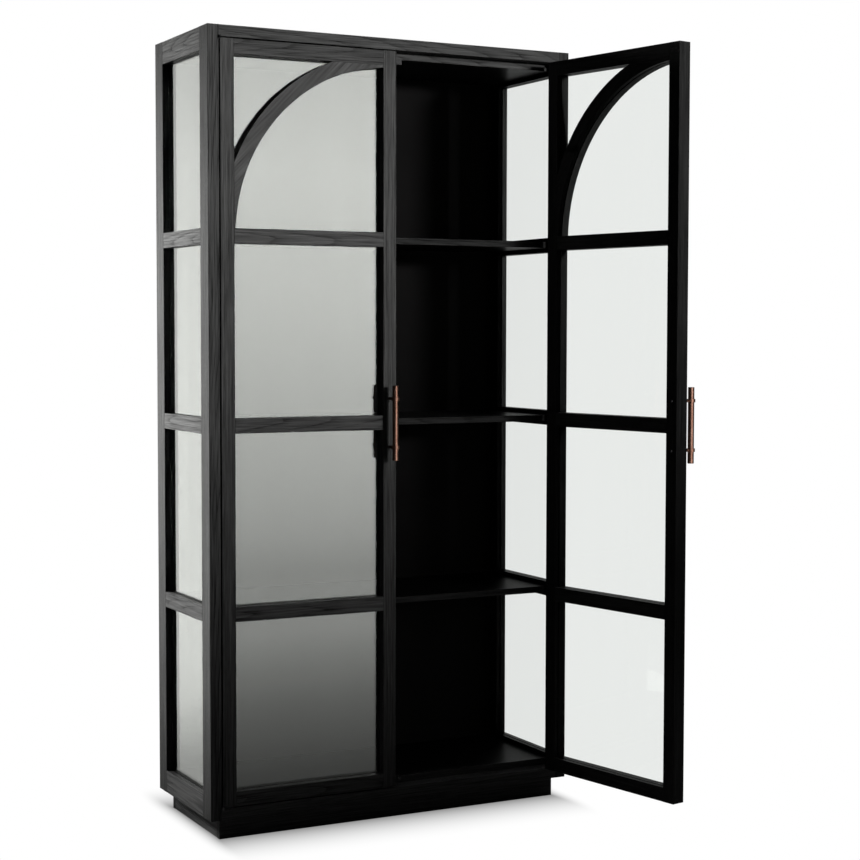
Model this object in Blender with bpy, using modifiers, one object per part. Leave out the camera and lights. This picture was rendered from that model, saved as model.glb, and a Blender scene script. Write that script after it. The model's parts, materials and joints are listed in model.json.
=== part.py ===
"""Tower display case: a black-stained, two-door glazed cabinet on a recessed plinth.

Metres, +Z up.  X runs across the front, Y from the front to the back.  The origin
is on the floor, in the middle of the case's footprint.  The left door is shut and
the right door stands open, which is how the case is shown at rest.
"""
from math import acos, asin, cos, hypot, pi, radians, sin

import bpy
from mathutils import Vector

# ---- Case -------------------------------------------------------------------
CASE_WIDTH = 1.096
CASE_DEPTH = 0.412
CASE_HEIGHT = 2.150
BOARD_THICKNESS = 0.031        # side frames, and the front edge of the bottom board
TOP_EDGE = 0.030               # front edge of the top board, above the doors
STOP_THICKNESS = 0.0185        # what the top and bottom boards keep behind the doors
STOP_SETBACK = 0.048           # from the case's front to the door stops and shelves

PLINTH_HEIGHT = 0.0555
PLINTH_BOARD = 0.018
PLINTH_SIDE_RECESS = 0.032
PLINTH_END_RECESS = 0.022

BACK_THICKNESS = 0.012
BACK_LAP = 0.010               # how far the back panel laps its rebates
SHELF_THICKNESS = 0.018
SHELF_TONGUE = 0.006           # how far a shelf is let into the side cross rails
LOWEST_SHELF = 0.6035          # middle of the lowest shelf and cross rails
SHELF_PITCH = 0.5005
SHELF_COUNT = 3

# ---- Side frames ------------------------------------------------------------
SIDE_STILE = 0.060
SIDE_TOP_RAIL = 0.061
SIDE_BOTTOM_RAIL = 0.062
SIDE_CROSS_RAIL = 0.042
SIDE_GLASS_DEPTH = 0.0157      # from a side frame's outer face to its glass

# ---- Doors ------------------------------------------------------------------
DOOR_THICKNESS = 0.040
DOOR_STILE = 0.0385
DOOR_TOP_RAIL = 0.040
DOOR_BOTTOM_RAIL = 0.039
DOOR_CROSS_RAIL = 0.0395
DOOR_GLASS_DEPTH = 0.024       # from a door's front face to its glass
HINGE_GAP = 0.0038
MEETING_GAP = 0.0044
DOOR_TOP_GAP = 0.0035
DOOR_BOTTOM_GAP = 0.0030
RIGHT_DOOR_OPEN = radians(101.1)

ARCH_WIDTH = 0.0393            # face width of the curved brace
ARCH_CENTRE_INSET = 0.0064     # arch centre, in from the door's meeting edge
ARCH_SIDE_LAP = 0.0033         # brace left showing beside the hinge stile
ARCH_TOP_LAP = 0.0055          # brace left showing under the top rail
ARCH_SPRING_DROP = 0.01605     # springing line, below the top of the cross rail
ARCH_STEPS = 28

# ---- Glass and joinery ------------------------------------------------------
GLASS_THICKNESS = 0.004
GLASS_IN_GROOVE = 0.008
GROOVE_PLAY = 0.001            # between a glass edge and the bottom of its groove
TENON_LENGTH = 0.020
TENON_THICKNESS = 0.010
TENON_SHOULDER = 0.007
FIT = 0.0003                   # clearance between pieces that touch
ARRIS = 0.0008                 # eased long edges
MARGIN = 0.002                 # how far a cutter runs past the face it opens

# ---- Pivot hinges -----------------------------------------------------------
AXIS_PROUD = 0.0028            # hinge axis, in front of the door's face
LEAF_THICKNESS = 0.0022
LEAF_LENGTH = 0.034
LEAF_WIDTH = 0.018
LEAF_START = 0.006             # front edge of a leaf's tail, behind the axis
NECK_SIDE = 0.0012             # neck's edge, beyond the axis towards the case side
NOSE_RADIUS = 0.0030
PIN_RADIUS = 0.0016
PIN_PLAY = 0.0001              # radial running clearance of a pin
PIN_SIDES = 24

# ---- Handles ----------------------------------------------------------------
BAR_RADIUS = 0.0085
BAR_LENGTH = 0.205
BAR_STANDOFF = 0.0355          # door face to the middle of the bar
COLLAR_WALL = 0.00275          # of a collar, round the bar
COLLAR_HEIGHT = 0.009
COLLAR_SPACING = 0.133
POST_RADIUS = 0.0042
BAR_BEVEL = 0.0008
SMOOTH_ANGLE = radians(40)
CROSS_RAIL_AT_HANDLE = 1       # counted from the lowest

# ---- Magnetic catch ---------------------------------------------------------
CATCH_WIDTH = 0.070
CATCH_HEIGHT = 0.0135
CATCH_REACH = 0.0070           # how far it stands in front of the stops
CATCH_LENGTH = 0.022

# ---- Derived levels and faces -----------------------------------------------
HALF_WIDTH = CASE_WIDTH / 2
HALF_DEPTH = CASE_DEPTH / 2
INNER_HALF = HALF_WIDTH - BOARD_THICKNESS
FRONT = -HALF_DEPTH
STOP_FACE = FRONT + STOP_SETBACK
BACK_FACE = HALF_DEPTH - BACK_THICKNESS
BOTTOM_BOARD_TOP = PLINTH_HEIGHT + BOARD_THICKNESS
FLOOR_LEVEL = BOTTOM_BOARD_TOP + STOP_THICKNESS
TOP_BOARD_UNDER = CASE_HEIGHT - TOP_EDGE
CEILING_LEVEL = TOP_BOARD_UNDER - STOP_THICKNESS
SHELF_LEVELS = [LOWEST_SHELF + SHELF_PITCH * step for step in range(SHELF_COUNT)]

DOOR_BOTTOM = BOTTOM_BOARD_TOP + DOOR_BOTTOM_GAP
DOOR_TOP = TOP_BOARD_UNDER - DOOR_TOP_GAP
DOOR_WIDTH = INNER_HALF - HINGE_GAP - MEETING_GAP / 2
AXIS_X = INNER_HALF - HINGE_GAP / 2
AXIS_Y = FRONT - AXIS_PROUD
COLLAR_RADIUS = BAR_RADIUS + COLLAR_WALL


# ---- Scene and materials ----------------------------------------------------
for old in list(bpy.data.objects):
    bpy.data.objects.remove(old, do_unlink=True)


def collection(name):
    made = bpy.data.collections.new(name)
    bpy.context.scene.collection.children.link(made)
    return made


case_parts = collection("tower_display_case")
cutters = collection("cutters")


def material(name, colour, roughness, metallic=0.0, alpha=1.0):
    made = bpy.data.materials.new(name)
    made.use_nodes = True
    shader = made.node_tree.nodes["Principled BSDF"]
    shader.inputs["Base Color"].default_value = (*colour, 1.0)
    shader.inputs["Roughness"].default_value = roughness
    shader.inputs["Metallic"].default_value = metallic
    shader.inputs["Alpha"].default_value = alpha
    made.diffuse_color = (*colour, alpha)
    return made


stained_wood = material("stained_wood", (0.025, 0.024, 0.023), 0.45)
black_panel = material("black_panel", (0.012, 0.012, 0.012), 0.50)
clear_glass = material("clear_glass", (0.90, 0.94, 0.92), 0.02, alpha=0.3)
antique_copper = material("antique_copper", (0.45, 0.24, 0.17), 0.30, metallic=1.0)
black_steel = material("black_steel", (0.03, 0.03, 0.03), 0.35, metallic=1.0)


# ---- Building blocks --------------------------------------------------------
def place(piece, group, parent, finish):
    """Move a new piece to its collection, hang it on its parent and finish it."""
    for home in list(piece.users_collection):
        home.objects.unlink(piece)
    group.objects.link(piece)
    piece.parent = parent
    if finish:
        piece.data.materials.append(finish)
    else:
        piece.hide_render = True
        piece.display_type = "WIRE"
    return piece


def box(name, low, high, parent=None, finish=None):
    """A box between two corners given in its parent's frame."""
    low, high = Vector(low), Vector(high)
    bpy.ops.mesh.primitive_cube_add(size=1.0)
    piece = bpy.context.object
    piece.name = name
    piece.scale = high - low
    bpy.ops.object.transform_apply(location=False, rotation=False, scale=True)
    piece.location = (low + high) / 2
    return place(piece, case_parts if finish else cutters, parent, finish)


def cylinder(name, radius, length, centre, parent=None, finish=None, lying=False, sides=32):
    """A cylinder along Z, or along Y where it lies."""
    bpy.ops.mesh.primitive_cylinder_add(vertices=sides, radius=radius, depth=length)
    piece = bpy.context.object
    piece.name = name
    piece.location = centre
    piece.rotation_euler.x = pi / 2 if lying else 0.0
    return place(piece, case_parts if finish else cutters, parent, finish)


def ease(piece, along):
    """Ease the edges that run along one axis (0, 1 or 2)."""
    mesh = piece.data
    weights = mesh.attributes.new("bevel_weight_edge", "FLOAT", "EDGE")
    for edge in mesh.edges:
        start, end = (mesh.vertices[index].co for index in edge.vertices)
        run = end - start
        if abs(run[along]) > run.length / 2:
            weights.data[edge.index].value = 1.0
    bevel = piece.modifiers.new("eased edges", "BEVEL")
    bevel.limit_method = "WEIGHT"
    bevel.width = ARRIS
    bevel.segments = 1
    return piece


def combine(piece, other, operation):
    boolean = piece.modifiers.new(other.name, "BOOLEAN")
    boolean.operation = operation
    boolean.solver = "EXACT"
    boolean.object = other


def cut(piece, *tools):
    for tool in tools:
        combine(piece, tool, "DIFFERENCE")


def join(piece, *extras):
    for extra in extras:
        combine(piece, extra, "UNION")


def round_off(piece):
    piece.data.shade_smooth()
    piece.data.set_sharp_from_angle(angle=SMOOTH_ANGLE)


def empty(name, location, turn):
    made = bpy.data.objects.new(name, None)
    case_parts.objects.link(made)
    made.location = location
    made.rotation_euler.z = turn
    return made


# ---- Glazed ladder frames, for the sides and the doors ----------------------
class LadderFrame:
    """Two stiles, a top, a bottom and three cross rails, tenoned together round one sheet
    of glass that slides in grooves and passes through a slot in each cross rail.

    Its own frame: X across from the first stile, Y inwards from the outer face, Z up.
    """

    def __init__(self, name, parent, shift, width, bottom, top, thickness,
                 stile, top_rail, bottom_rail, cross_rail, glass_depth, stile_names):
        self.name, self.parent, self.shift = name, parent, Vector(shift)
        self.width, self.bottom, self.top, self.thickness = width, bottom, top, thickness
        self.stile, self.cross_rail = stile, cross_rail
        self.glass_depth, self.stile_names = glass_depth, stile_names
        self.opening_bottom = bottom + bottom_rail
        self.opening_top = top - top_rail
        self.pieces = {}
        self.rails = {
            "bottom_rail": (bottom, self.opening_bottom),
            "top_rail": (self.opening_top, top),
        }
        for number, level in enumerate(SHELF_LEVELS, start=1):
            self.rails[f"cross_rail_{number}"] = (level - cross_rail / 2, level + cross_rail / 2)
        self.make()

    def box(self, name, low, high, finish=None):
        return box(f"{self.name}_{name}", Vector(low) + self.shift, Vector(high) + self.shift,
                   self.parent, finish)

    def glass_box(self, name, play, finish=None):
        """The glass sheet, or the room for it, grown by the play on every side."""
        reach = GLASS_IN_GROOVE + play
        slack = FIT if play else 0.0
        return self.box(
            name,
            (self.stile - reach, self.glass_depth - slack, self.opening_bottom - reach),
            (self.width - self.stile + reach, self.glass_depth + GLASS_THICKNESS + slack,
             self.opening_top + reach),
            finish)

    def tenon_box(self, name, low_z, high_z, grow):
        """The bar that forms both tenons of a rail, or the room for them."""
        middle = self.glass_depth + GLASS_THICKNESS / 2
        half = TENON_THICKNESS / 2 + grow
        reach = TENON_LENGTH + grow
        return self.box(
            name,
            (self.stile - reach, middle - half, low_z + TENON_SHOULDER - grow),
            (self.width - self.stile + reach, middle + half, high_z - TENON_SHOULDER + grow))

    def make(self):
        groove = self.glass_box("groove", GROOVE_PLAY)
        mortises = []
        for rail, (low_z, high_z) in self.rails.items():
            piece = self.box(rail, (self.stile + FIT, 0, low_z),
                             (self.width - self.stile - FIT, self.thickness, high_z), stained_wood)
            ease(piece, along=0)
            join(piece, self.tenon_box(f"{rail}_tenons", low_z, high_z, grow=0.0))
            cut(piece, groove)
            mortises.append(self.tenon_box(f"{rail}_mortises", low_z, high_z, grow=FIT))
            self.pieces[rail] = piece
        starts = (0.0, self.width - self.stile)
        for stile, start in zip(self.stile_names, starts):
            piece = self.box(stile, (start, 0, self.bottom),
                             (start + self.stile, self.thickness, self.top), stained_wood)
            ease(piece, along=2)
            cut(piece, groove, *mortises)
            self.pieces[stile] = piece
        self.glass_box("glass", 0.0, clear_glass)


# ---- Side frames ------------------------------------------------------------
sides = {}
for name, direction in (("left_side", -1), ("right_side", 1)):
    face = empty(name, (direction * HALF_WIDTH, -direction * HALF_DEPTH, 0), direction * pi / 2)
    # Seen from outside, the left frame starts at its rear stile and the right at its front.
    order = ("rear_stile", "front_stile") if direction < 0 else ("front_stile", "rear_stile")
    sides[name] = LadderFrame(
        name, face, (0, 0, 0), CASE_DEPTH, PLINTH_HEIGHT + FIT, CASE_HEIGHT, BOARD_THICKNESS,
        SIDE_STILE, SIDE_TOP_RAIL, SIDE_BOTTOM_RAIL, SIDE_CROSS_RAIL, SIDE_GLASS_DEPTH, order)


# ---- Top, bottom, back and shelves ------------------------------------------
board_half = INNER_HALF - FIT
top_panel = ease(box("top_panel", (-board_half, FRONT, CEILING_LEVEL),
                     (board_half, HALF_DEPTH, CASE_HEIGHT), finish=stained_wood), along=0)
bottom_panel = ease(box("bottom_panel", (-board_half, FRONT, PLINTH_HEIGHT + FIT),
                        (board_half, HALF_DEPTH, FLOOR_LEVEL), finish=stained_wood), along=0)

rebate_half = INNER_HALF + MARGIN
cut(top_panel, box("top_door_rebate", (-rebate_half, FRONT - MARGIN, CEILING_LEVEL - MARGIN),
                   (rebate_half, STOP_FACE, TOP_BOARD_UNDER)))
cut(bottom_panel, box("bottom_door_rebate", (-rebate_half, FRONT - MARGIN, BOTTOM_BOARD_TOP),
                      (rebate_half, STOP_FACE, FLOOR_LEVEL + MARGIN)))

back_half = INNER_HALF + BACK_LAP
box("back_panel", (-back_half + FIT, BACK_FACE, FLOOR_LEVEL - BACK_LAP + FIT),
    (back_half - FIT, HALF_DEPTH - FIT, CEILING_LEVEL + BACK_LAP - FIT), finish=black_panel)
back_rebate = box("back_rebate", (-back_half, BACK_FACE - FIT, FLOOR_LEVEL - BACK_LAP),
                  (back_half, HALF_DEPTH + MARGIN, CEILING_LEVEL + BACK_LAP))
cut(top_panel, back_rebate)
cut(bottom_panel, back_rebate)
for side in sides.values():
    cut(side.pieces["rear_stile"], back_rebate)

shelf_back = BACK_FACE - 2 * FIT
housing_front = FRONT + SIDE_STILE
housing_back = HALF_DEPTH - SIDE_STILE
for number, level in enumerate(SHELF_LEVELS, start=1):
    low_z, high_z = level - SHELF_THICKNESS / 2, level + SHELF_THICKNESS / 2
    shelf = box(f"shelf_{number}", (-board_half, STOP_FACE, low_z), (board_half, shelf_back, high_z),
                finish=stained_wood)
    ease(shelf, along=0)
    tongue_half = INNER_HALF + SHELF_TONGUE - FIT
    join(shelf, box(f"shelf_{number}_tongues", (-tongue_half, housing_front + FIT, low_z + ARRIS),
                    (tongue_half, housing_back - FIT, high_z - ARRIS)))
    housing_half = INNER_HALF + SHELF_TONGUE
    housing = box(f"shelf_{number}_housing",
                  (-housing_half, housing_front - MARGIN, low_z + ARRIS - FIT),
                  (housing_half, housing_back + MARGIN, high_z - ARRIS + FIT))
    for side in sides.values():
        cut(side.pieces[f"cross_rail_{number}"], housing)


# ---- Plinth -----------------------------------------------------------------
plinth_half = HALF_WIDTH - PLINTH_SIDE_RECESS
plinth_face = HALF_DEPTH - PLINTH_END_RECESS
for name, face in (("plinth_front", -plinth_face), ("plinth_rear", plinth_face - PLINTH_BOARD)):
    ease(box(name, (-plinth_half, face, 0), (plinth_half, face + PLINTH_BOARD, PLINTH_HEIGHT),
             finish=stained_wood), along=2)
between = plinth_face - PLINTH_BOARD - FIT
for name, start in (("plinth_left", -plinth_half), ("plinth_right", plinth_half - PLINTH_BOARD),
                    ("plinth_stretcher", -PLINTH_BOARD / 2)):
    ease(box(name, (start, -between, 0), (start + PLINTH_BOARD, between, PLINTH_HEIGHT),
             finish=stained_wood), along=1)


# ---- Magnetic catch ---------------------------------------------------------
ease(box("magnetic_catch", (-CATCH_WIDTH / 2, STOP_FACE - CATCH_REACH, CEILING_LEVEL - FIT - CATCH_HEIGHT),
         (CATCH_WIDTH / 2, STOP_FACE - CATCH_REACH + CATCH_LENGTH, CEILING_LEVEL - FIT),
         finish=black_steel), along=2)


# ---- Doors ------------------------------------------------------------------
def arc(centre_x, centre_z, across, rise, start, end):
    """Points along a round or a flattened arc, from one angle to the other."""
    angles = [start + (end - start) * step / ARCH_STEPS for step in range(ARCH_STEPS + 1)]
    return [(centre_x + across * cos(angle), centre_z + rise * sin(angle)) for angle in angles]


def arch_outline():
    """The curved brace of a door, as (across, up) points.

    Across is measured from the hinge edge.  The brace springs from the highest cross rail
    beside the hinge stile, and dies into the top rail at the meeting stile.
    """
    left, right = DOOR_STILE + FIT, DOOR_WIDTH - DOOR_STILE - FIT
    rail_top = SHELF_LEVELS[-1] + DOOR_CROSS_RAIL / 2
    foot, head = rail_top + FIT, DOOR_TOP - DOOR_TOP_RAIL - FIT
    centre_x = DOOR_WIDTH - ARCH_CENTRE_INSET
    centre_z = rail_top - ARCH_SPRING_DROP
    inner = centre_x - DOOR_STILE - ARCH_SIDE_LAP
    inner_rise = DOOR_TOP - DOOR_TOP_RAIL - ARCH_TOP_LAP - centre_z
    outer, outer_rise = inner + ARCH_WIDTH, inner_rise + ARCH_WIDTH
    points = arc(centre_x, centre_z, inner, inner_rise, acos((right - centre_x) / inner),
                 pi - asin((foot - centre_z) / inner_rise))
    at_head = pi - asin((head - centre_z) / outer_rise)
    at_stile = pi - acos((centre_x - left) / outer)
    if hypot((left - centre_x) / outer, (head - centre_z) / outer_rise) < 1:
        points += [(left, foot), (left, head)]
    else:
        points += [(left, foot), *arc(centre_x, centre_z, outer, outer_rise, at_stile, at_head)]
    points.append((right, head))
    return points


def arch_brace(name, parent, hinge_edge, direction):
    """The brace stands in front of the glass, flush with the door's face."""
    curve = bpy.data.curves.new(name, "CURVE")
    curve.dimensions = "2D"
    curve.fill_mode = "BOTH"
    curve.extrude = (DOOR_GLASS_DEPTH - FIT) / 2
    outline = [(hinge_edge + direction * across, up) for across, up in arch_outline()]
    spline = curve.splines.new("POLY")
    spline.points.add(len(outline) - 1)
    for point, (across, up) in zip(spline.points, outline):
        point.co = (across, up, 0, 1)
    spline.use_cyclic_u = True
    brace = bpy.data.objects.new(name, curve)
    brace.location = (0, AXIS_PROUD + curve.extrude, 0)
    brace.rotation_euler.x = pi / 2
    case_parts.objects.link(brace)
    return place(brace, case_parts, parent, stained_wood)


def leaf_boxes(name, parent, direction, low_z, high_z, grow):
    """Neck and tail of a hinge leaf, or the room for them, from the hinge axis."""
    def span(near, far):
        low, high = sorted((direction * near, direction * far))
        return low - grow, high + grow
    neck_x, tail_x = span(-NECK_SIDE, NOSE_RADIUS), span(-NECK_SIDE, LEAF_LENGTH)
    tail_end = LEAF_START + LEAF_WIDTH
    neck = box(f"{name}_neck", (neck_x[0], 0, low_z), (neck_x[1], tail_end - MARGIN, high_z), parent)
    tail = box(f"{name}_tail", (tail_x[0], LEAF_START - grow, low_z),
               (tail_x[1], tail_end + grow, high_z), parent)
    return neck, tail


def slab(face, inwards, depth, mouth=0.0):
    """Low and high Z of a leaf, or of its recess: depth into the wood, mouth out of it."""
    return sorted((face + inwards * depth, face - inwards * mouth))


def hinge(door, level, parent, still, direction, board, stile):
    """A pair of pivot leaves at the top (level 1) or the bottom (level -1) of a door.

    Both are let in flush.  The door's leaf carries the pin, which turns in the case's leaf.
    """
    end = "top" if level > 0 else "bottom"
    door_edge = DOOR_TOP if level > 0 else DOOR_BOTTOM
    case_face = TOP_BOARD_UNDER if level > 0 else BOTTOM_BOARD_TOP

    def leaf(name, face, inwards, parent, wood):
        low_z, high_z = slab(face, inwards, LEAF_THICKNESS)
        piece = cylinder(name, NOSE_RADIUS, LEAF_THICKNESS, (0, 0, (low_z + high_z) / 2), parent,
                         black_steel, sides=PIN_SIDES)
        join(piece, *leaf_boxes(name, parent, direction, low_z, high_z, grow=0.0))
        low_z, high_z = slab(face, inwards, LEAF_THICKNESS + FIT, MARGIN)
        cut(wood, *leaf_boxes(f"{name}_recess", parent, direction, low_z, high_z, grow=FIT))
        return piece

    def turned(name, radius, start, stop):
        return cylinder(name, radius, abs(stop - start), (0, 0, (start + stop) / 2), parent,
                        sides=PIN_SIDES)

    name = f"{door}_{end}_door_leaf"
    door_leaf = leaf(name, door_edge, -level, parent, stile)
    root = door_edge - level * LEAF_THICKNESS / 2
    join(door_leaf,
         turned(f"{name}_spacer", NOSE_RADIUS, root, case_face - level * FIT),
         turned(f"{name}_pin", PIN_RADIUS, root, case_face + level * (LEAF_THICKNESS - FIT)))

    name = f"{door}_{end}_case_leaf"
    case_leaf = leaf(name, case_face, level, still, board)
    cut(case_leaf, cylinder(f"{name}_bore", PIN_RADIUS + PIN_PLAY, 3 * LEAF_THICKNESS,
                            (0, 0, case_face), still, sides=PIN_SIDES))


def handle(door, parent, across):
    """A round bar held off the meeting stile by two collared posts."""
    middle = SHELF_LEVELS[CROSS_RAIL_AT_HANDLE]
    face = AXIS_PROUD
    bar_y = face - BAR_STANDOFF
    bar = cylinder(f"{door}_handle_bar", BAR_RADIUS, BAR_LENGTH, (across, bar_y, middle), parent,
                   antique_copper)
    bevel = bar.modifiers.new("bar ends", "BEVEL")
    bevel.limit_method = "ANGLE"
    bevel.angle_limit = SMOOTH_ANGLE
    bevel.width = BAR_BEVEL
    bevel.segments = 2
    round_off(bar)
    bore = cylinder(f"{door}_handle_bore", BAR_RADIUS + FIT, BAR_LENGTH, (across, bar_y, middle),
                    parent)
    post_end = face - FIT
    for number, side in enumerate((-1, 1), start=1):
        level = middle + side * COLLAR_SPACING / 2
        post = cylinder(f"{door}_handle_post_{number}", COLLAR_RADIUS, COLLAR_HEIGHT,
                        (across, bar_y, level), parent, antique_copper)
        join(post, cylinder(f"{post.name}_stem", POST_RADIUS, post_end - bar_y,
                            (across, (post_end + bar_y) / 2, level), parent, lying=True,
                            sides=PIN_SIDES))
        cut(post, bore)
        round_off(post)


def make_door(name, side, turn):
    """One door; side is -1 for the left and 1 for the right."""
    axis = empty(f"{name}_axis", (side * AXIS_X, AXIS_Y, 0), turn)
    still = empty(f"{name}_case_axis", (side * AXIS_X, AXIS_Y, 0), 0.0)
    direction = -side
    hinge_edge = direction * HINGE_GAP / 2
    near = min(hinge_edge, hinge_edge + direction * DOOR_WIDTH)
    order = ("hinge_stile", "meeting_stile") if side < 0 else ("meeting_stile", "hinge_stile")
    frame = LadderFrame(
        name, axis, (near, AXIS_PROUD, 0), DOOR_WIDTH, DOOR_BOTTOM, DOOR_TOP, DOOR_THICKNESS,
        DOOR_STILE, DOOR_TOP_RAIL, DOOR_BOTTOM_RAIL, DOOR_CROSS_RAIL, DOOR_GLASS_DEPTH, order)
    arch_brace(f"{name}_arch_brace", axis, hinge_edge, direction)
    for level, board in ((1, top_panel), (-1, bottom_panel)):
        hinge(name, level, axis, still, direction, board, frame.pieces["hinge_stile"])
    handle(name, axis, hinge_edge + direction * (DOOR_WIDTH - DOOR_STILE / 2))


make_door("left_door", -1, 0.0)
make_door("right_door", 1, RIGHT_DOOR_OPEN)
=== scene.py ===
"""Tower display case: its finishes, its small fittings and a plain studio.

Metres, +Z up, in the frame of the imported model.  X runs across the front and Y to the back.
The left door is shut and the right door stands open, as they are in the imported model.
"""
import json
from math import cos, pi, radians, sin, tau
from random import Random

import bmesh
import bpy
from mathutils import Matrix, Vector


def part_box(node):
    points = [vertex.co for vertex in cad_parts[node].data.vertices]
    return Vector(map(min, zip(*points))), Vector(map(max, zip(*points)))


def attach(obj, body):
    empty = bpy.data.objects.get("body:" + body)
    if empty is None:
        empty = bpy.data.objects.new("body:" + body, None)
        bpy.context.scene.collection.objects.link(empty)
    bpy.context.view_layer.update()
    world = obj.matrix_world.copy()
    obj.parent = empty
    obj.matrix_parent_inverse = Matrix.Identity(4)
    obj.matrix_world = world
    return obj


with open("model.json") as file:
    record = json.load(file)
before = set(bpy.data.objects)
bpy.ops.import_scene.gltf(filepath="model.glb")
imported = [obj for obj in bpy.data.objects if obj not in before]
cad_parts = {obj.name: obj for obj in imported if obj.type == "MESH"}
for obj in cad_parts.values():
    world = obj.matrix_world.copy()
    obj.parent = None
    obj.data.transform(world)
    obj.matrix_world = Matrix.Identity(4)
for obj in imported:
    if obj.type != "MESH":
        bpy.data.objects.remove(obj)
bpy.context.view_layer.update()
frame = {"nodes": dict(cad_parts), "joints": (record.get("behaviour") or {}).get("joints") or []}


# ---- Side frames ------------------------------------------------------------
# Each side is a ladder of ash stiles and rails, tenoned together.  The ash is brushed to
# open its grain, stained black, and sealed with a thin satin lacquer that leaves it open.
class Wire:
    """A node's output, with which a finish's maths is written as plain expressions."""

    def __init__(self, tree, socket):
        self.tree = tree
        self.socket = socket

    def maths(self, operation, *values):
        return self.tree.node("ShaderNodeMath", {"operation": operation}, dict(enumerate(values)))

    def __add__(self, other):
        return self.maths("ADD", self, other)

    def __sub__(self, other):
        return self.maths("SUBTRACT", self, other)

    def __rsub__(self, other):
        return self.maths("SUBTRACT", other, self)

    def __mul__(self, other):
        return self.maths("MULTIPLY", self, other)

    def __truediv__(self, other):
        return self.maths("DIVIDE", self, other)

    def __pow__(self, other):
        return self.maths("POWER", self, other)

    __radd__, __rmul__ = __add__, __mul__

    def at_least(self, least):
        return self.maths("MAXIMUM", self, least)

    def clipped(self):
        return self.tree.node("ShaderNodeClamp", {}, {"Value": self})

    def along(self, axis):
        return self.tree.node("ShaderNodeSeparateXYZ", {}, {"Vector": self}, "XYZ"[axis])


class Tree:
    """The nodes of one finish, or of one Geometry Nodes tree."""

    def __init__(self, made):
        self.made = made

    def node(self, kind, settings, inputs, output=0):
        """Any node: its settings are set first, then the values or links of its sockets."""
        new = self.made.nodes.new(kind)
        for key, value in settings.items():
            if key == "stops":         # greys that take the place of a ramp's own two ends
                elements = new.color_ramp.elements
                for position, brightness in value:
                    elements.new(position).color = (brightness, brightness, brightness, 1.0)
                elements.remove(elements[-1])
                elements.remove(elements[0])
            else:
                setattr(new, key, value)
        for key, value in inputs.items():
            if isinstance(value, Wire):
                self.made.links.new(value.socket, new.inputs[key])
            else:
                new.inputs[key].default_value = value
        return Wire(self, new.outputs[output]) if new.outputs else None

    def place(self, centre=(0, 0, 0), turn=(0, 0, 0)):
        """Object coordinates, measured from a centre in a frame that may be turned."""
        here = self.node("ShaderNodeTexCoord", {}, {}, "Object")
        return self.node("ShaderNodeMapping", {"vector_type": "TEXTURE"},
                         {"Vector": here, "Location": centre, "Rotation": turn})

    def noise(self, at, per_metre, detail=2.0):
        """Noise from 0 to 1, with so many lumps a metre along each axis."""
        spread = self.node("ShaderNodeVectorMath", {"operation": "MULTIPLY"},
                           {0: at, 1: per_metre})
        return self.node("ShaderNodeTexNoise", {}, {"Vector": spread, "Scale": 1.0, "Detail": detail})

    def blend(self, share, first, second):
        """A colour between two, by a share from 0 to 1."""
        return self.node("ShaderNodeMix", {"data_type": "RGBA"},
                         {0: share, 6: (*first, 1.0), 7: (*second, 1.0)}, 2)

    def relief(self, height, depth):
        return self.node("ShaderNodeBump", {}, {"Height": height, "Distance": depth})


def finish(name, design, *details):
    """A material whose surface comes from a design that is given its empty tree."""
    made = bpy.data.materials.new(name)
    made.use_nodes = True
    made.node_tree.nodes.clear()
    tree = Tree(made.node_tree)
    tree.node("ShaderNodeOutputMaterial", {}, {"Surface": design(tree, *details)})
    return made


nodes = frame["nodes"]


def give(node, material):
    """Give a carried-over piece its finish."""
    for holder in nodes[node].material_slots:
        holder.link = "OBJECT"
        holder.material = material


RIGHTWARD, BACKWARD, UPWARD = Vector((1, 0, 0)), Vector((0, 1, 0)), Vector((0, 0, 1))
RING_PITCH = 0.0034            # between one year's ring and the next
HEART_TAPER = 0.022            # how fast the rings close in along the log
RING_SWAY = 0.016              # how far the rings wander over a hand's breadth
RING_WOBBLE = 0.0016           # and over a finger's
STAIN_IN_PORES = (0.0039, 0.0039, 0.0038)
STAIN_ON_FIBRES = (0.0255, 0.0256, 0.0253)
PORE_DEPTH = 0.0003
LACQUER = 0.11                 # how much of a shine the thin coat has where it is whole
NEAR_HEART, BESIDE_HEART = (0.035, 0.075), (-0.014, 0.014)     # where figured pieces are sawn
IN_THE_LOG, FAR_ASIDE = (0.03, 0.10), (0.10, 0.20)             # where plain pieces are sawn
ALONG_THE_LOG = (-0.5, 0.5)
BATCH_SHADES = (0.92, 1.08)    # how much the stain differs from piece to piece
log = Random(4)


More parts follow.
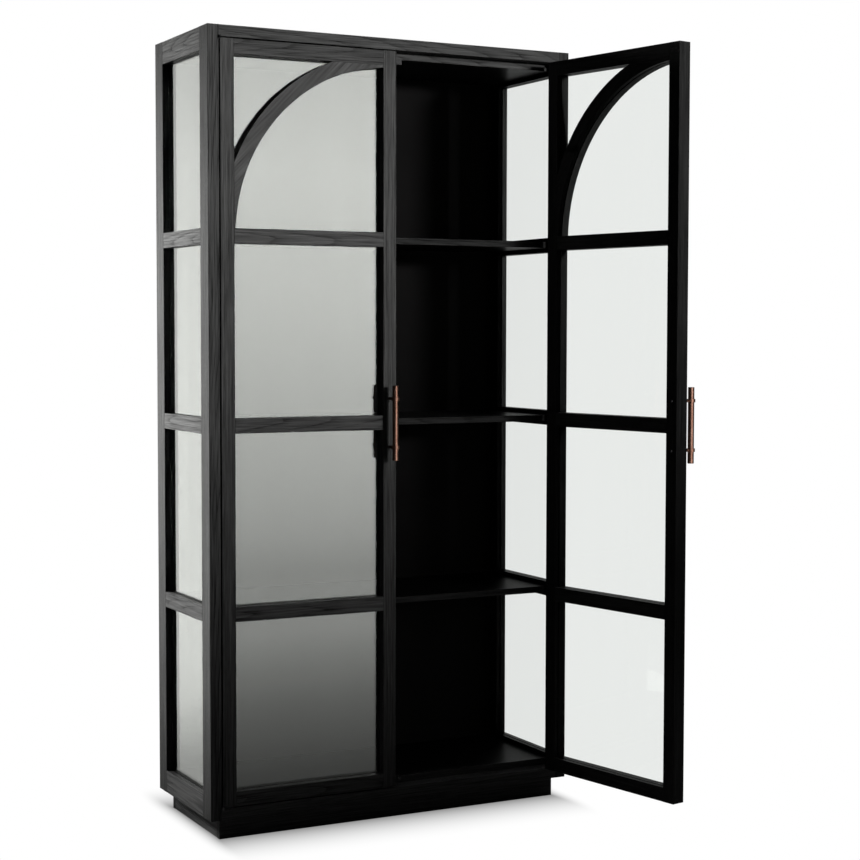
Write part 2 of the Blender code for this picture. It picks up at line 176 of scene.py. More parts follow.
def stained_ash(tree, heart, turn, shade):
    """Ring-porous wood about the heart of its log, whose length is the turned frame's Z."""
    at = tree.place(heart, turn)
    sway = tree.noise(at, (7, 7, 1.3))
    wobble = tree.noise(at, (70, 70, 4))
    out = (at.along(0) ** 2 + at.along(1) ** 2) ** 0.5
    radius = out + at.along(2) * HEART_TAPER + sway * RING_SWAY + wobble * RING_WOBBLE
    years = radius / RING_PITCH
    season = years.maths("FRACT", years)
    early = (1 - season) ** 5
    streaks = tree.noise(at, (300, 300, 5), 3)
    fibres = tree.noise(at, (700, 700, 14), 3)
    vessels = ((tree.noise(at, (1500, 1500, 55)) - 0.52) * 9).clipped() * (early * 0.8 + 0.2)
    tone = (streaks * 1.5 + fibres * 1.3 - 0.80 - early * 0.28 - vessels * 0.4).clipped()
    height = fibres * 0.25 - vessels - early * 0.3
    return tree.node("ShaderNodeBsdfPrincipled", {}, {
        # shade deepens or lightens the stain; on some pieces that is painted light or painted shade
        "Base Color": tree.blend(tone, Vector(STAIN_IN_PORES) * shade, Vector(STAIN_ON_FIBRES) * shade),
        "Roughness": 0.37 - tone * 0.08,
        "Specular IOR Level": 0.008,
        "Coat Weight": (tone - 0.15).clipped() * (LACQUER * shade),
        "Coat Roughness": 0.22,
        "Normal": tree.relief(height, PORE_DEPTH)})


def cut_from_log(node, grain, inward, figured=False, shade=1.0):
    """Ash for one piece.  A figured piece is sawn close to the heart, behind its face, and
    shows arched rings; a plain one comes from the side of the log and is straight.  A shade
    above 1 lightens the stain and the coat's shine, and one below 1 deepens them; on some
    pieces it is painted light or painted shade, standing for how much light falls on them."""
    low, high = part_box(node)
    if figured:
        depth, aside = log.uniform(*NEAR_HEART), log.uniform(*BESIDE_HEART)
    else:
        depth, aside = log.uniform(*IN_THE_LOG), log.choice((-1, 1)) * log.uniform(*FAR_ASIDE)
    heart = (low + high) / 2 + inward * depth + grain.cross(inward) * aside
    heart += grain * log.uniform(*ALONG_THE_LOG)
    turn = UPWARD.rotation_difference(grain).to_euler()
    shade *= log.uniform(*BATCH_SHADES)
    give(node, finish(f"{node}_ash", stained_ash, heart, turn, shade))


RAIL_SHADES = {"top_rail": 0.80, "cross_rail_3": 1.1, "cross_rail_2": 1.1, "cross_rail_1": 1.1,
               "bottom_rail": 0.95}
# The left side's top and bottom rails are made much lighter than the rest: painted light, so that they
# look more brightly lit.
LEFT_RAIL_SHADES_WITH_PAINTED_LIGHT = {**RAIL_SHADES, "top_rail": 1.7, "bottom_rail": 1.7}
# The right side's deep value is painted shade, for its inside faces, which stand in the shade of the
# case.
LEFT_STAIN, RIGHT_SIDE_PAINTED_SHADE = 0.96, 0.6
SIDE_STILE_SHADE = 0.9
for side, inward, stain_and_shade, rails in (("left_side", RIGHTWARD, LEFT_STAIN, LEFT_RAIL_SHADES_WITH_PAINTED_LIGHT),
                                   ("right_side", -RIGHTWARD, RIGHT_SIDE_PAINTED_SHADE, RAIL_SHADES)):
    for stile in ("front_stile", "rear_stile"):
        cut_from_log(f"{side}_{stile}", UPWARD, inward, shade=stain_and_shade * SIDE_STILE_SHADE)
    for rail, shade in rails.items():
        cut_from_log(f"{side}_{rail}", BACKWARD, inward, figured=True, shade=stain_and_shade * shade)


# ---- Glass ------------------------------------------------------------------
# One full-height sheet of clear 4 mm float glass in each side and each door.  Its greenish
# body dims what is behind it a little, and wiping has left faint upright marks on it.
GLASS_TINT = (0.938, 0.950, 0.940, 1.0)    # through one of its two faces
MIRROR_TINT = (0.985, 1.0, 0.975, 1.0)
HEAD_ON_REFLECTANCE = 0.043                # of one face
LAMPLIGHT_HELD = 0.75                      # so that the inside stays in the shade
WAVE_DEPTH = 0.000006                      # of the faint waves in its faces


def float_glass(tree):
    at = tree.place()
    grazing = tree.node("ShaderNodeLayerWeight", {}, {"Blend": 0.5}, "Facing")
    wiping = tree.noise(at, (26, 26, 0.9), 4)
    reflectance = HEAD_ON_REFLECTANCE + (1 - HEAD_ON_REFLECTANCE) * grazing ** 5
    share = reflectance * (0.93 + wiping * 0.14)
    through = tree.node("ShaderNodeBsdfTransparent", {}, {"Color": GLASS_TINT})
    gloss = tree.node("ShaderNodeBsdfGlossy", {}, {
        "Color": MIRROR_TINT,
        "Roughness": 0.004 + wiping * 0.008,
        "Normal": tree.relief(tree.noise(at, (9, 9, 3)), WAVE_DEPTH)})
    lamplight = tree.node("ShaderNodeLightPath", {}, {}, "Is Shadow Ray")
    held = (share + lamplight * LAMPLIGHT_HELD).clipped()
    return tree.node("ShaderNodeMixShader", {}, {0: held, 1: through, 2: gloss})


clear_glass = finish("float_glass", float_glass)
for sheet in ("left_side_glass", "right_side_glass", "left_door_glass", "right_door_glass"):
    give(sheet, clear_glass)


# ---- Top, bottom and shelves ------------------------------------------------
# Ash boards between the sides, with the grain running across the case.  The shelves are let
# into the side cross rails, so no shelf pins show.
# The shelves' deep value is painted shade, for the shade they stand in inside the case.
TOP_SHADE, SHELF_PAINTED_SHADE = 0.85, 0.32

cut_from_log("top_panel", RIGHTWARD, -UPWARD, shade=TOP_SHADE)
cut_from_log("bottom_panel", RIGHTWARD, UPWARD)
for number in (1, 2, 3):
    cut_from_log(f"shelf_{number}", RIGHTWARD, -UPWARD, shade=SHELF_PAINTED_SHADE)


# ---- Back panel -------------------------------------------------------------
# A black-dyed fibreboard sheet in rebates, matt inside and out, made darker than its dye alone as
# painted shade for the inside of the case.  Pan-head screws hold it to the rear stiles and to the
# top and bottom boards.
SCREW_INSET = 0.006            # from the sheet's edge to the middle of a screw
SCREWS_ACROSS, SCREWS_UP = 7, 13
SCREW_HEAD = {"Head Radius": 0.0038, "Head Height": 0.0016, "Slot Width": 0.0010}
# Far darker than black dye: partly the dye, partly painted shade for the inside of the case.
DARK_DYE_AND_SHADE, PALE_DYE_AND_SHADE = (0.0009, 0.0009, 0.0009), (0.0027, 0.0026, 0.0026)
BLACKING, WORN_STEEL = (0.018, 0.018, 0.019), (0.07, 0.068, 0.066)
FACING_BACK, FACING_FRONT = (-pi / 2, 0, 0), (pi / 2, 0, 0)
FACING_UP, FACING_DOWN = (0, 0, 0), (pi, 0, 0)


def dyed_and_shaded_board(tree):
    """Pressed fibre, flecked and a little clouded where it took the dye unevenly."""
    at = tree.place()
    flecks = tree.noise(at, (900, 900, 900), 2)
    cloud = tree.noise(at, (5, 5, 5), 3)
    tone = (flecks * 0.6 + cloud * 0.6 - 0.1).clipped()
    return tree.node("ShaderNodeBsdfPrincipled", {}, {
        "Base Color": tree.blend(tone, DARK_DYE_AND_SHADE, PALE_DYE_AND_SHADE),
        "Roughness": 0.82 - cloud * 0.1,
        "Specular IOR Level": 0.02,
        "Normal": tree.relief(flecks, 0.00008)})


def black_steel(tree):
    """Blackened steel, worn a little brighter in patches."""
    at = tree.place()
    worn = ((tree.noise(at, (220, 220, 220), 4) - 0.5) * 4).clipped()
    grit = tree.noise(at, (2500, 2500, 2500))
    return tree.node("ShaderNodeBsdfPrincipled", {}, {
        "Base Color": tree.blend(worn, BLACKING, WORN_STEEL),
        "Metallic": 1.0,
        "Roughness": 0.46 - worn * 0.14,
        "Normal": tree.relief(grit, 0.00003)})


def grow(name, points, group, values):
    """A new piece, with the plain mesh that a Geometry Nodes tree grows on some points."""
    seed = bpy.data.meshes.new(name)
    seed.from_pydata([tuple(point) for point in points], [], [])
    piece = bpy.data.objects.new(name, seed)
    bpy.context.scene.collection.objects.link(piece)
    growth = piece.modifiers.new("growth", "NODES")
    growth.node_group = group
    for item in group.interface.items_tree:
        if item.name in values:
            growth[item.identifier] = values[item.name]
    grown = piece.evaluated_get(bpy.context.evaluated_depsgraph_get())
    plain = bpy.data.meshes.new_from_object(grown)
    piece.modifiers.clear()
    piece.data = plain
    return piece


def new_group(name, sockets):
    """A Geometry Nodes tree with named inputs, and the node that gives them."""
    group = bpy.data.node_groups.new(name, "GeometryNodeTree")
    group.interface.new_socket("Geometry", in_out="INPUT", socket_type="NodeSocketGeometry")
    for title, kind in sockets.items():
        group.interface.new_socket(title, in_out="INPUT", socket_type=kind)
    group.interface.new_socket("Geometry", in_out="OUTPUT", socket_type="NodeSocketGeometry")
    tree = Tree(group)
    given = group.nodes.new("NodeGroupInput")
    return tree, {socket.name: Wire(tree, socket) for socket in given.outputs if socket.name}


def end_group(tree, placed, material):
    """Every tree ends in real faces with their finish."""
    real = tree.node("GeometryNodeRealizeInstances", {}, {0: placed})
    coated = tree.node("GeometryNodeSetMaterial", {}, {"Geometry": real, "Material": material})
    tree.node("NodeGroupOutput", {}, {0: coated})
    return tree.made


def screw_heads():
    """A tree that sets a cross-slotted screw head on each point."""
    tree, given = new_group("screw heads", {
        "Head Radius": "NodeSocketFloat", "Head Height": "NodeSocketFloat",
        "Slot Width": "NodeSocketFloat", "Facing": "NodeSocketRotation",
        "Finish": "NodeSocketMaterial"})
    radius, height, slot = given["Head Radius"], given["Head Height"], given["Slot Width"]
    head = tree.node("GeometryNodeMeshCone", {}, {
        "Vertices": 20, "Radius Top": radius * 0.74, "Radius Bottom": radius, "Depth": height})
    arms = []
    for long_x, long_y in ((1.2, 0.0), (0.0, 1.2)):
        size = tree.node("ShaderNodeCombineXYZ", {}, {
            "X": radius * long_x + slot * (1.0 if long_y else 0.0),
            "Y": radius * long_y + slot * (1.0 if long_x else 0.0),
            "Z": height})
        bar = tree.node("GeometryNodeMeshCube", {}, {"Size": size})
        lift = tree.node("ShaderNodeCombineXYZ", {}, {"Z": height})
        arms.append(tree.node("GeometryNodeTransform", {}, {"Geometry": bar, "Translation": lift}))
    for arm in arms:
        head = tree.node("GeometryNodeMeshBoolean", {"operation": "DIFFERENCE"}, {0: head, 1: arm})
    placed = tree.node("GeometryNodeInstanceOnPoints", {}, {
        "Points": given["Geometry"], "Instance": head, "Rotation": given["Facing"]})
    twist = tree.node("FunctionNodeRandomValue", {"data_type": "FLOAT_VECTOR"}, {
        0: (0, 0, 0), 1: (0, 0, tau), "Seed": 3})
    driven = tree.node("GeometryNodeRotateInstances", {}, {"Instances": placed, "Rotation": twist})
    return end_group(tree, driven, given["Finish"])


def between(first, last, count):
    """So many points, evenly from the first to the last."""
    return [first.lerp(last, step / (count - 1)) for step in range(count)]


give("back_panel", finish("dyed_and_shaded_fibreboard", dyed_and_shaded_board))
steel = finish("blackened_steel", black_steel)
screws = screw_heads()

low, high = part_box("back_panel")
left, right = low.x + SCREW_INSET, high.x - SCREW_INSET
foot, head = low.z + SCREW_INSET, high.z - SCREW_INSET
corners = [Vector((x, high.y, z))
           for x, z in ((left, foot), (right, foot), (right, head), (left, head))]
places = []
for step, count in enumerate((SCREWS_ACROSS, SCREWS_UP, SCREWS_ACROSS, SCREWS_UP)):
    places += between(corners[step], corners[(step + 1) % 4], count)[:-1]
back_screws = grow("back_panel_screws", places, screws,
                   {**SCREW_HEAD, "Facing": FACING_BACK, "Finish": steel})
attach(back_screws, "cabinet")


# ---- Plinth -----------------------------------------------------------------
# Ash boards on edge, set back under the case, with a stretcher across the middle.  Turned
# levelling feet stand in the corners behind the boards.
FOOT_RADIUS, FOOT_THICKNESS = 0.014, 0.005
STEM_RADIUS = 0.004
FOOT_INSET = 0.034             # from a plinth corner to a foot's middle
PLINTH_LEFT_PAINTED_LIGHT = 2.4        # painted light: the lightest board of all, so that in the shade under the case it looks lit

cut_from_log("plinth_front", RIGHTWARD, BACKWARD)
cut_from_log("plinth_rear", RIGHTWARD, -BACKWARD)
cut_from_log("plinth_left", BACKWARD, RIGHTWARD, shade=PLINTH_LEFT_PAINTED_LIGHT)
for board in ("plinth_right", "plinth_stretcher"):
    cut_from_log(board, BACKWARD, RIGHTWARD)


def union(tree, first, second):
    """Two closed shapes made one.  Both links go into the same socket."""
    whole = tree.node("GeometryNodeMeshBoolean", {"operation": "UNION"}, {1: first})
    tree.made.links.new(second.socket, whole.socket.node.inputs[1])
    return whole


def levelling_feet():
    """A tree that stands a round foot on its screwed stem at each point."""
    tree, given = new_group("levelling feet", {
        "Foot Radius": "NodeSocketFloat", "Foot Thickness": "NodeSocketFloat",
        "Stem Radius": "NodeSocketFloat", "Stem Length": "NodeSocketFloat",
        "Finish": "NodeSocketMaterial"})
    thick, stem = given["Foot Thickness"], given["Stem Length"]
    pad = tree.node("GeometryNodeMeshCone", {}, {
        "Vertices": 40, "Radius Top": given["Foot Radius"] * 0.7,
        "Radius Bottom": given["Foot Radius"], "Depth": thick})
    rod = tree.node("GeometryNodeMeshCylinder", {}, {
        "Vertices": 20, "Radius": given["Stem Radius"], "Depth": stem})
    lift = tree.node("ShaderNodeCombineXYZ", {}, {"Z": thick * 0.5 + stem * 0.5})
    rod = tree.node("GeometryNodeTransform", {}, {"Geometry": rod, "Translation": lift})
    placed = tree.node("GeometryNodeInstanceOnPoints", {}, {
        "Points": given["Geometry"], "Instance": union(tree, pad, rod)})
    return end_group(tree, placed, given["Finish"])


low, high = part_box("plinth_front")
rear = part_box("plinth_rear")[1].y
places = [Vector((x, y, 0.0)) for x in (low.x + FOOT_INSET, high.x - FOOT_INSET)
          for y in (low.y + FOOT_INSET, rear - FOOT_INSET)]
feet = grow("levelling_feet", places, levelling_feet(), {
    "Foot Radius": FOOT_RADIUS, "Foot Thickness": FOOT_THICKNESS, "Stem Radius": STEM_RADIUS,
    "Stem Length": high.z - FOOT_THICKNESS, "Finish": steel})
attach(feet, "cabinet")


# ---- Door frames ------------------------------------------------------------
# Slimmer ladders of the same ash, the right one darkened with painted shade.  In each top pane a brace
# sawn from a wide board curves over the glass, and a shallower half of it is glued behind.
GLASS_PLAY = 0.0003            # between the glass and the wood behind it
WELD_REACH = 0.00001           # of corners that are one and the same
# The right door's deep value is painted shade, for a door that stands open in the shade; the left one
# keeps its stain.
DOOR_STAIN_AND_PAINTED_SHADE = {"left_door": 1.0, "right_door": 0.36}
DOOR_STILE_SHADE = 0.88

DOORS = {}                     # each door's turn from shut to where it stands
for name in ("left_door", "right_door"):
    hinge = next(joint for joint in frame["joints"] if joint["child"] == name)
    pivot = Matrix.Translation(hinge["pos_m"])
    swing = Matrix.Rotation(radians(-hinge["range_deg"][0]), 4, Vector(hinge["axis"]))
    DOORS[name] = pivot @ swing @ pivot.inverted()


def shut_box(door, node):
    """A piece's lowest and highest corners with its door shut."""
    unturned = DOORS[door].inverted()
    corners = [unturned @ vertex.co for vertex in nodes[node].data.vertices]
    return (Vector(min(corner[axis] for corner in corners) for axis in range(3)),
            Vector(max(corner[axis] for corner in corners) for axis in range(3)))


for name, turn in DOORS.items():
    swing = turn.to_3x3()
    inward, across = swing @ BACKWARD, swing @ RIGHTWARD
    rise = (across if name == "left_door" else -across) + UPWARD
    stain_and_shade = DOOR_STAIN_AND_PAINTED_SHADE[name]
    for stile in ("hinge_stile", "meeting_stile"):
        cut_from_log(f"{name}_{stile}", UPWARD, inward, shade=stain_and_shade * DOOR_STILE_SHADE)
    for rail, shade in RAIL_SHADES.items():
        cut_from_log(f"{name}_{rail}", across, inward, figured=True, shade=stain_and_shade * shade)
    cut_from_log(f"{name}_arch_brace", rise.normalized(), inward, figured=True, shade=stain_and_shade)

    brace = nodes[f"{name}_arch_brace"]
    half = bpy.data.objects.new(f"{name}_arch_inner_half", brace.data.copy())
    bpy.context.scene.collection.objects.link(half)
    half.data.transform(turn.inverted())
    front, behind = shut_box(name, f"{name}_arch_brace")
    start = shut_box(name, f"{name}_glass")[1].y + GLASS_PLAY
    end = shut_box(name, f"{name}_hinge_stile")[1].y
    share = (end - start) / (behind.y - front.y)
    for vertex in half.data.vertices:
        vertex.co.y = start + (vertex.co.y - front.y) * share
    half.data.transform(turn)
    shape = bmesh.new()
    shape.from_mesh(half.data)
    bmesh.ops.remove_doubles(shape, verts=shape.verts, dist=WELD_REACH)
    shape.to_mesh(half.data)
    shape.free()
    half.data.materials.clear()
    half.data.materials.append(brace.material_slots[0].material)
    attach(half, name)


# ---- Pivot hinges -----------------------------------------------------------
# Blackened steel leaves let in flush at the top and bottom of each door, each held by two
# countersunk screws.
LEAF_SCREWS_FROM_TIP = (0.005, 0.019)
SCREWS_FROM_REAR_EDGE = 0.0075
LEAF_SCREW = {"Head Radius": 0.0032, "Head Height": 0.0002, "Slot Width": 0.0009}

for name, turn in DOORS.items():
    inboard = 1 if name == "left_door" else -1
    for kind, body in (("case_leaf", "cabinet"), ("door_leaf", name)):
        for end in ("top", "bottom"):
            node = f"{name}_{end}_{kind}"
            give(node, steel)
            on_door = kind == "door_leaf"
            low, high = shut_box(name, node) if on_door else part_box(node)
            up = (end == "top") == on_door
            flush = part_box(f"{name}_hinge_stile") if on_door else (low, high)
            level = flush[1].z if up else flush[0].z
            tip = high.x if inboard > 0 else low.x
            places = [Vector((tip - inboard * inset, high.y - SCREWS_FROM_REAR_EDGE, level))
                      for inset in LEAF_SCREWS_FROM_TIP]
            heads = grow(f"{node}_screws", places, screws,
                         {**LEAF_SCREW, "Facing": FACING_UP if up else FACING_DOWN, "Finish": steel})
            if on_door:
                heads.data.transform(turn)
            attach(heads, body)


# ---- Handles ----------------------------------------------------------------
# A round brass bar in two ringed posts, plated with copper and darkened, then rubbed back so
# that the copper shows.  Two screws come through the stile from inside.
HANDLE_SCREW = {"Head Radius": 0.0045, "Head Height": 0.0024, "Slot Width": 0.0012}
BROWNED_COPPER, BARE_COPPER = (0.085, 0.022, 0.007), (0.180, 0.108, 0.084)


def rubbed_copper(tree):
    """Brushed round the bar, and barer in patches."""
    at = tree.place()
    brushed = tree.noise(at, (160, 160, 1800), 3)
    patina = tree.noise(at, (70, 70, 26), 4)
    shine = (0.15 + brushed * 0.35 + patina * 0.7).clipped()
    return tree.node("ShaderNodeBsdfPrincipled", {}, {
        "Base Color": tree.blend(shine, BROWNED_COPPER, BARE_COPPER),
        "Metallic": 1.0,
        "Roughness": 0.46 - shine * 0.10,
        "Normal": tree.relief(brushed, 0.000006)})


copper = finish("rubbed_copper", rubbed_copper)
for name, turn in DOORS.items():
    for part in ("handle_bar", "handle_post_1", "handle_post_2"):
        give(f"{name}_{part}", copper)
    inner_face = shut_box(name, f"{name}_meeting_stile")[1].y
    places = []
    for post in ("handle_post_1", "handle_post_2"):
        low, high = shut_box(name, f"{name}_{post}")
        places.append(Vector(((low.x + high.x) / 2, inner_face, (low.z + high.z) / 2)))
    heads = grow(f"{name}_handle_screws", places, screws,
                 {**HANDLE_SCREW, "Facing": FACING_BACK, "Finish": steel})
    heads.data.transform(turn)
    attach(heads, name)


# ---- Magnetic catch and door buffers ----------------------------------------
# A black moulded catch under the ceiling, with two steel poles that meet a strike plate on
# each door.  A rubber button on the bottom step takes the knock when a door shuts.
STRIKE_THICKNESS, STRIKE_EASE = 0.0008, 0.00035
STRIKE_FROM_MIDDLE = 0.006     # from the catch's middle to each plate's near end
POLE_WIDTH, POLE_HEIGHT, POLE_PROUD, POLE_EASE = 0.022, 0.0022, 0.0001, 0.0003
BUFFER_RADIUS, BUFFER_FROM_MIDDLE = 0.0045, 0.030
BUFFER_GAP = 0.0005            # to a shut door
DEEP_BLACK, SOFT_BLACK = (0.010, 0.010, 0.010), (0.017, 0.017, 0.017)


def moulded_black(tree):
    """The fine eggshell that a mould leaves on black plastic and rubber."""
    at = tree.place()
    skin = tree.noise(at, (1400, 1400, 1400), 3)
    return tree.node("ShaderNodeBsdfPrincipled", {}, {
        "Base Color": tree.blend(skin, DEEP_BLACK, SOFT_BLACK),
        "Roughness": 0.60 + skin * 0.12,
        "Specular IOR Level": 0.12,
        "Normal": tree.relief(skin, 0.00005)})


def eased_plates(name, boxes, ease, material):
    """Flat plates with rounded edges, as one piece."""
    shape = bmesh.new()
    for low, high in boxes:
        made = bmesh.ops.create_cube(shape, size=1.0)
        size = Matrix.Diagonal((*(high - low), 1.0))
        bmesh.ops.transform(shape, matrix=Matrix.Translation((low + high) / 2) @ size,
                            verts=made["verts"])
    bmesh.ops.bevel(shape, geom=shape.edges[:], offset=ease, segments=3, profile=0.5,
                    affect="EDGES", clamp_overlap=True)
    mesh = bpy.data.meshes.new(name)
    shape.to_mesh(mesh)
    shape.free()
    mesh.materials.append(material)
    piece = bpy.data.objects.new(name, mesh)
    bpy.context.scene.collection.objects.link(piece)
    return piece


moulded = finish("moulded_black", moulded_black)
give("magnetic_catch", moulded)
low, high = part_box("magnetic_catch")
half_width = (high.x - low.x) / 2
poles = []
for side in (-1, 1):
    centre = side * half_width / 2
    for level in (low.z + POLE_HEIGHT, high.z - 2 * POLE_HEIGHT):
        poles.append((Vector((centre - POLE_WIDTH / 2, low.y - POLE_PROUD, level)),
                      Vector((centre + POLE_WIDTH / 2, low.y + POLE_HEIGHT, level + POLE_HEIGHT))))
pole_plates = eased_plates("catch_poles", poles, POLE_EASE, steel)
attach(pole_plates, "cabinet")

for name, turn in DOORS.items():
    side = -1 if name == "left_door" else 1
    inner_face = shut_box(name, f"{name}_meeting_stile")[1].y
    near, far = sorted((side * STRIKE_FROM_MIDDLE, side * half_width))
    strike = eased_plates(f"{name}_strike_plate", [(
        Vector((near, inner_face, low.z)),
        Vector((far, inner_face + STRIKE_THICKNESS, high.z)))], STRIKE_EASE, steel)
    strike.data.transform(turn)
    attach(strike, name)


def door_buffers():
    """A tree that stands a domed rubber button on each point."""
    tree, given = new_group("door buffers", {
        "Radius": "NodeSocketFloat", "Length": "NodeSocketFloat",
        "Facing": "NodeSocketRotation", "Finish": "NodeSocketMaterial"})
    length = given["Length"]
    stem = tree.node("GeometryNodeMeshCone", {}, {
        "Vertices": 28, "Radius Top": given["Radius"] * 0.86, "Radius Bottom": given["Radius"],
        "Depth": length * 0.7})
    dome = tree.node("GeometryNodeMeshUVSphere", {}, {
        "Segments": 28, "Rings": 12, "Radius": given["Radius"] * 0.85})
    squash = tree.node("ShaderNodeCombineXYZ", {}, {
        "X": 1.0, "Y": 1.0, "Z": length * 0.3 / (given["Radius"] * 0.85)})
    lift = tree.node("ShaderNodeCombineXYZ", {}, {"Z": length * 0.7})
    dome = tree.node("GeometryNodeTransform", {}, {
        "Geometry": dome, "Translation": lift, "Scale": squash})
    placed = tree.node("GeometryNodeInstanceOnPoints", {}, {
        "Points": given["Geometry"], "Instance": union(tree, stem, dome),
        "Rotation": given["Facing"]})
    return end_group(tree, placed, given["Finish"])


stop_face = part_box("shelf_1")[0].y
door_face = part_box("left_door_meeting_stile")[1].y
step_foot, step_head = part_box("left_door_meeting_stile")[0].z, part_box("bottom_panel")[1].z
places = [Vector((side * BUFFER_FROM_MIDDLE, stop_face, (step_foot + step_head) / 2))
          for side in (-1, 1)]
buffers = grow("door_buffers", places, door_buffers(), {
    "Radius": BUFFER_RADIUS, "Length": stop_face - door_face - BUFFER_GAP,
    "Facing": FACING_FRONT, "Finish": moulded})
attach(buffers, "cabinet")


# ---- Studio -----------------------------------------------------------------
# A white floor with a painted shade round the plinth, three sweeps of light that show only as
# reflections, and soft spots and an overhead light that light the wood without being mirrored in it.
FLOOR_REACH, FLOOR_DROP = 30.0, 0.0004
FLOOR_GREY = (0.14, 0.14, 0.14, 1.0)       # to all but the eye
SHADE_AT_PLINTH = 0.71         # how much darker the painted shade makes the floor where the plinth meets it
SHADE_REACH = 0.26             # how far the painted shade spreads in front
SHADE_NARROWING = 4.5          # how much less it spreads to the sides
SWEEP_WALL = 4.5               # from the case's middle to a sweep's wall
SWEEP_BEND, SWEEP_BEND_STEPS = 0.35, 8
SWEEP_LIFT = 0.002             # above the floor
WARM_WHITE, PURE_WHITE = (1.0, 1.0, 0.985, 1.0), (1.0, 1.0, 1.0, 1.0)
FRONT_LEVELS = [(0.08, 0.07), (0.19, 0.165), (0.36, 0.36), (0.50, 0.37), (0.555, 0.55),
                (0.67, 0.84), (0.74, 0.95), (0.80, 0.84)]
SIDE_LEVELS = [(0.07, 0.38), (0.11, 0.52), (0.18, 0.77), (0.27, 0.88), (0.50, 0.94),
               (0.64, 1.0), (0.75, 0.90), (0.80, 0.75)]
FRONT_STRENGTH, SIDE_STRENGTH, REAR_STRENGTH = 7.9, 2.64, 0.9
SPOT_SOFTNESS = 0.4            # a spot's radius
OVERHEAD_HEIGHT, OVERHEAD_FORWARD = 5.0, 1.0
OVERHEAD_SIZE, OVERHEAD_WATTS = 6.0, 15.0
AMBIENT = (0.020, 0.020, 0.021, 1.0)


def studio_floor(tree, corner):
    """White to the eye, with a painted soft shade round the plinth, and dim in what it lights."""
    at = tree.place()
    aside = (at.along(0).maths("ABSOLUTE", at.along(0)) - corner.x).at_least(0.0)
    off = (at.along(1).maths("ABSOLUTE", at.along(1)) - corner.y).at_least(0.0)
    away = ((aside * SHADE_NARROWING) ** 2 + off ** 2) ** 0.5
    shade = (1 - away / SHADE_REACH).clipped() ** 2
    seen = tree.node("ShaderNodeLightPath", {}, {}, "Is Camera Ray")
    plain = tree.node("ShaderNodeBsdfDiffuse", {}, {"Color": FLOOR_GREY})
    # The floor's glow is dimmed near the plinth: painted shade, not a cast shadow.
    glow_with_painted_shade = tree.node("ShaderNodeEmission", {}, {"Strength": 1 - shade * SHADE_AT_PLINTH})
    return tree.node("ShaderNodeMixShader", {}, {0: seen, 1: plain, 2: glow_with_painted_shade})


def sweep_light(tree, stops, strength, tint):
    """Light that changes along the sweep, from its near edge on the floor to its top."""
    at = tree.place()
    depth = at.along(1).maths("ABSOLUTE", at.along(1))
    run = (at.along(2) + depth) / (2 * SWEEP_WALL)
    level = tree.node("ShaderNodeValToRGB", {"stops": stops}, {0: run})
    return tree.node("ShaderNodeEmission", {}, {
        "Color": tint, "Strength": level * strength})


def staged(name, points, faces, material):
    """A part of the studio, which isn't part of the case."""
    mesh = bpy.data.meshes.new(name)
    mesh.from_pydata(points, [], faces)
    mesh.materials.append(material)
    thing = bpy.data.objects.new(name, mesh)
    bpy.context.scene.collection.objects.link(thing)
    return thing


def sweep(name, toward, near, top, sides, right, material):
    """A strip of floor that bends up into a wall; toward is -1 in front and 1 behind.  Its
    left side runs from the first of two places, beside the case, to the second, at the wall."""
    angles = [pi / 2 * step / SWEEP_BEND_STEPS for step in range(SWEEP_BEND_STEPS + 1)]
    bend = [(SWEEP_WALL - SWEEP_BEND * (1 - sin(angle)), SWEEP_BEND * (1 - cos(angle)))
            for angle in angles]
    profile = [(near, 0.0), *bend, (SWEEP_WALL, top)]
    points = []
    for y, z in profile:
        left = sides[0] + (sides[1] - sides[0]) * y / SWEEP_WALL
        points += [(x, toward * y, z + SWEEP_LIFT) for x in (left, right)]
    faces = [(2 * step, 2 * step + 1, 2 * step + 3, 2 * step + 2)
             for step in range(len(profile) - 1)]
    made = staged(name, points, faces, material)
    made.visible_camera = made.visible_diffuse = made.visible_shadow = False
    made.visible_transmission = False
    return made


floor_corners = [(x * FLOOR_REACH, y * FLOOR_REACH, -FLOOR_DROP)
                 for x, y in ((-1, -1), (1, -1), (1, 1), (-1, 1))]
staged("floor", floor_corners, [(0, 1, 2, 3)],
       finish("studio_floor", studio_floor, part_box("plinth_rear")[1]))
sweep("front_sweep", toward=-1, near=0.60, top=3.1, sides=(-0.4, -0.4), right=2.5,
      material=finish("front_light", sweep_light, FRONT_LEVELS, FRONT_STRENGTH, WARM_WHITE))
sweep("side_sweep", toward=1, near=0.02, top=3.5, sides=(-1.0, -3.6), right=-0.56,
      material=finish("side_light", sweep_light, SIDE_LEVELS, SIDE_STRENGTH, WARM_WHITE))
sweep("rear_sweep", toward=1, near=0.30, top=3.0, sides=(0.8, 0.8), right=6.0,
      material=finish("rear_light", sweep_light, SIDE_LEVELS, REAR_STRENGTH, PURE_WHITE))


def hang(light, place):
    """Put up a light that neither the eye nor a mirroring face sees."""
    lamp = bpy.data.objects.new(light.name, light)
    lamp.location = place
    lamp.visible_camera = lamp.visible_glossy = False
    bpy.context.scene.collection.objects.link(lamp)
    return lamp


def soft_spot(name, place, target, degrees, watts):
    light = bpy.data.lights.new(name, "SPOT")
    light.energy = watts
    light.spot_size = radians(degrees)
    light.spot_blend = 1.0
    light.shadow_soft_size = SPOT_SOFTNESS
    aim = Vector(target) - Vector(place)
    hang(light, place).rotation_euler = aim.to_track_quat("-Z", "Y").to_euler()


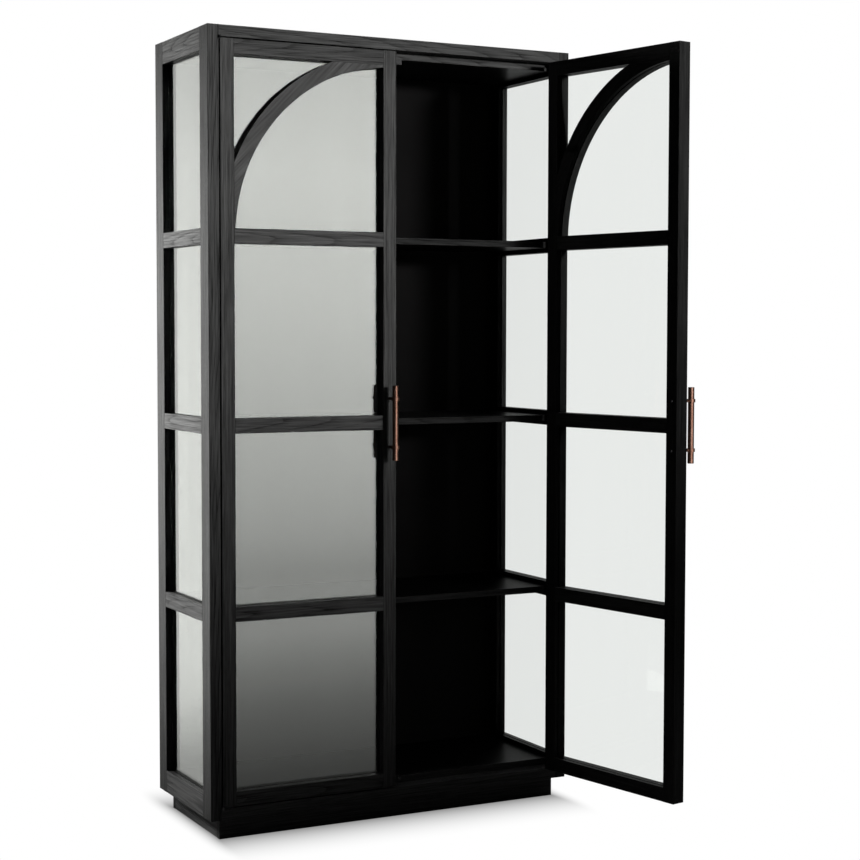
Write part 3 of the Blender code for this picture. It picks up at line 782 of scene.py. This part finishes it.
soft_spot("key", place=(3.0, -8.3, 2.7), target=(-0.1, -0.2, 2.75), degrees=30, watts=12500.0)
soft_spot("left_rear", place=(-2.2, 2.4, 2.3), target=(-0.55, 0.0, 1.25), degrees=38, watts=8800.0)
soft_spot("top", place=(0.0, 0.0, 5.6), target=(0.0, 0.0, 2.2), degrees=30, watts=2200.0)
soft_spot("right_rear", place=(2.6, 3.2, 2.6), target=(0.2, 0.1, 1.1), degrees=60, watts=4200.0)

overhead = bpy.data.lights.new("overhead", "AREA")
overhead.shape = "SQUARE"
overhead.size = OVERHEAD_SIZE
overhead.energy = OVERHEAD_WATTS
hang(overhead, (0.0, -OVERHEAD_FORWARD, OVERHEAD_HEIGHT))

world = bpy.data.worlds.new("studio")
world.use_nodes = True
world.node_tree.nodes.clear()
sky = Tree(world.node_tree)
seen = sky.node("ShaderNodeLightPath", {}, {}, "Is Camera Ray")
sky.node("ShaderNodeOutputWorld", {}, {"Surface": sky.node("ShaderNodeMixShader", {}, {
    0: seen,
    1: sky.node("ShaderNodeBackground", {}, {"Color": AMBIENT}),
    2: sky.node("ShaderNodeBackground", {}, {"Color": PURE_WHITE})})})
bpy.context.scene.world = world
bpy.context.scene.view_settings.view_transform = "Standard"


# ---- Camera -----------------------------------------------------------------
# A long lens at chest height, off to the left of the shut door.
EYE = Vector((-2.2350, -4.7145, 1.3574))
YAW, PITCH, ROLL = radians(27.411), radians(-3.119), radians(0.095)
FOCAL_LENGTH_MM, FILM_WIDTH_MM = 76.55, 36.0

ahead = Vector((sin(YAW) * cos(PITCH), cos(YAW) * cos(PITCH), sin(PITCH)))
level_right = Vector((cos(YAW), -sin(YAW), 0.0))
level_up = level_right.cross(ahead)
rightward = level_right * cos(ROLL) + level_up * sin(ROLL)
upward = level_up * cos(ROLL) - level_right * sin(ROLL)
lens = bpy.data.cameras.new("camera")
lens.lens = FOCAL_LENGTH_MM
lens.sensor_width = FILM_WIDTH_MM
camera = bpy.data.objects.new("camera", lens)
facing = Matrix((rightward, upward, -ahead)).transposed().to_4x4()
camera.matrix_world = Matrix.Translation(EYE) @ facing
bpy.context.scene.collection.objects.link(camera)
bpy.context.scene.camera = camera
